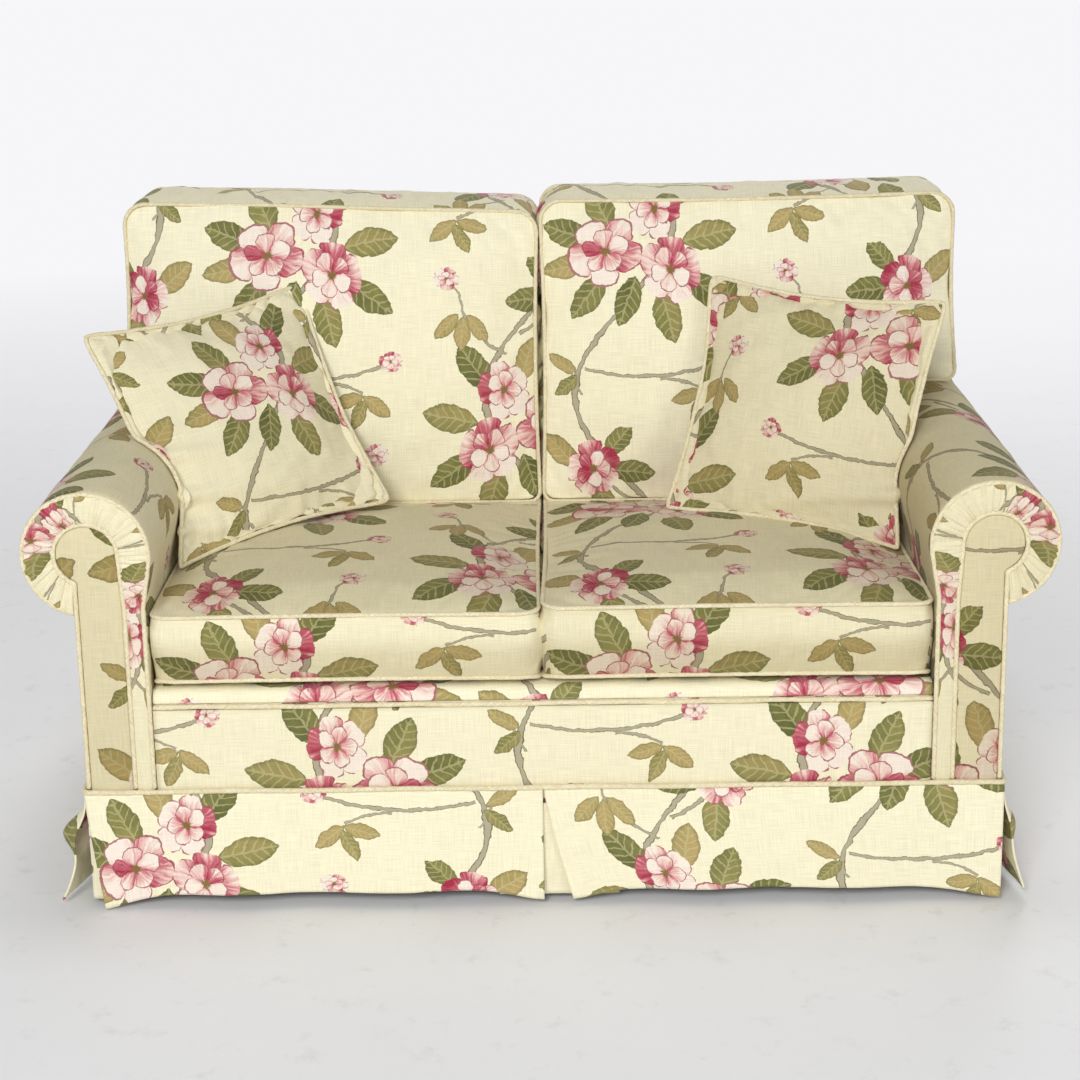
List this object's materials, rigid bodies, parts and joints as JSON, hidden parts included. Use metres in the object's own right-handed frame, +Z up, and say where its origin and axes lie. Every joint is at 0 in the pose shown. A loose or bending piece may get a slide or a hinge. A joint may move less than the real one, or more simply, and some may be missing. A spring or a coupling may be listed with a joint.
{
  "type": "two seater sofa",
  "caption": "Upholstered sofa with rolled scroll arms, gathered arm fronts, loose boxed seat and back cushions, scatter cushions and a kick pleat skirt, for two people to sit on.",
  "frame": {"origin": "centre of the bounding box's underside, on the floor", "axes": "+X is the sofa's width, to the right as seen from the front; +Y is depth, from the skirt's front hem towards the outside back; +Z is up"},
  "size_m": [1.55, 0.92, 0.992],
  "materials": {
    "printed_linen": "floral printed linen weave, matt",
    "cream_piping": "plain cream bias cut linen, matt",
    "wadding": "calico over fibre wadding, matt",
    "foam": "open cell upholstery foam, matt",
    "black_lining": "black nonwoven lining, matt",
    "webbing": "woven elastic webbing, matt",
    "timber": "planed beech, unfinished",
    "spring_steel": "drawn spring wire, oiled",
    "glide_plastic": "black moulded nylon, matt"
  },
  "bodies": {
    "sofa_frame": {"front_rail": "timber", "back_rail": "timber", "side_rail_left": "timber", "side_rail_right": "timber", "centre_stretcher": "timber", "corner_blocks": "timber", "arm_board_left": "timber", "arm_board_right": "timber", "arm_rails_left": "timber", "arm_rails_right": "timber", "back_post_left": "timber", "back_post_right": "timber", "back_top_rail": "timber", "back_tack_rail": "timber", "front_feet": "timber", "rear_feet": "timber", "foot_glides": "glide_plastic", "dust_cloth": "black_lining", "seat_springs": "spring_steel", "spring_clips": "spring_steel", "back_webbing": "webbing", "seat_platform": "wadding", "platform_lip": "printed_linen", "front_border": "printed_linen", "border_piping": "cream_piping", "arm_pad_left": "wadding", "arm_pad_right": "wadding", "arm_cover_left": "printed_linen", "arm_cover_right": "printed_linen", "outside_arm_left": "printed_linen", "outside_arm_right": "printed_linen", "arm_facing_left": "printed_linen", "arm_facing_right": "printed_linen", "arm_ruche_left": "printed_linen", "arm_ruche_right": "printed_linen", "arm_piping_left": "cream_piping", "arm_piping_right": "cream_piping", "back_pad": "wadding", "inside_back": "printed_linen", "outside_back": "printed_linen", "skirt_front_left": "printed_linen", "skirt_front_right": "printed_linen", "skirt_side_left": "printed_linen", "skirt_side_right": "printed_linen", "skirt_back": "printed_linen", "pleat_inserts": "printed_linen", "skirt_piping": "cream_piping"},
    "seat_left": {"seat_cushion_left": "printed_linen", "seat_core_left": "foam"},
    "seat_right": {"seat_cushion_right": "printed_linen", "seat_core_right": "foam"},
    "back_left": {"back_cushion_left": "printed_linen", "back_fill_left": "wadding"},
    "back_right": {"back_cushion_right": "printed_linen", "back_fill_right": "wadding"},
    "scatter_left": {"scatter_cushion_left": "printed_linen", "scatter_pad_left": "wadding"},
    "scatter_right": {"scatter_cushion_right": "printed_linen", "scatter_pad_right": "wadding"}
  },
  "joints": [
    {"name": "seat_left_slide", "type": "slide", "parent": "sofa_frame", "child": "seat_left", "axis": [0, -1, 0], "range_m": [0, 0.25]},
    {"name": "back_left_lift", "type": "slide", "parent": "sofa_frame", "child": "back_left", "axis": [0, 0.2079, 0.9781], "range_m": [0, 0.25]},
    {"name": "scatter_left_lift", "type": "slide", "parent": "sofa_frame", "child": "scatter_left", "axis": [0, -0.342, 0.9397], "range_m": [0, 0.25]},
    {"name": "seat_right_slide", "type": "slide", "parent": "sofa_frame", "child": "seat_right", "axis": [0, -1, 0], "range_m": [0, 0.25]},
    {"name": "back_right_lift", "type": "slide", "parent": "sofa_frame", "child": "back_right", "axis": [0, 0.2079, 0.9781], "range_m": [0, 0.25]},
    {"name": "scatter_right_lift", "type": "slide", "parent": "sofa_frame", "child": "scatter_right", "axis": [0, -0.342, 0.9397], "range_m": [0, 0.25]}
  ]
}
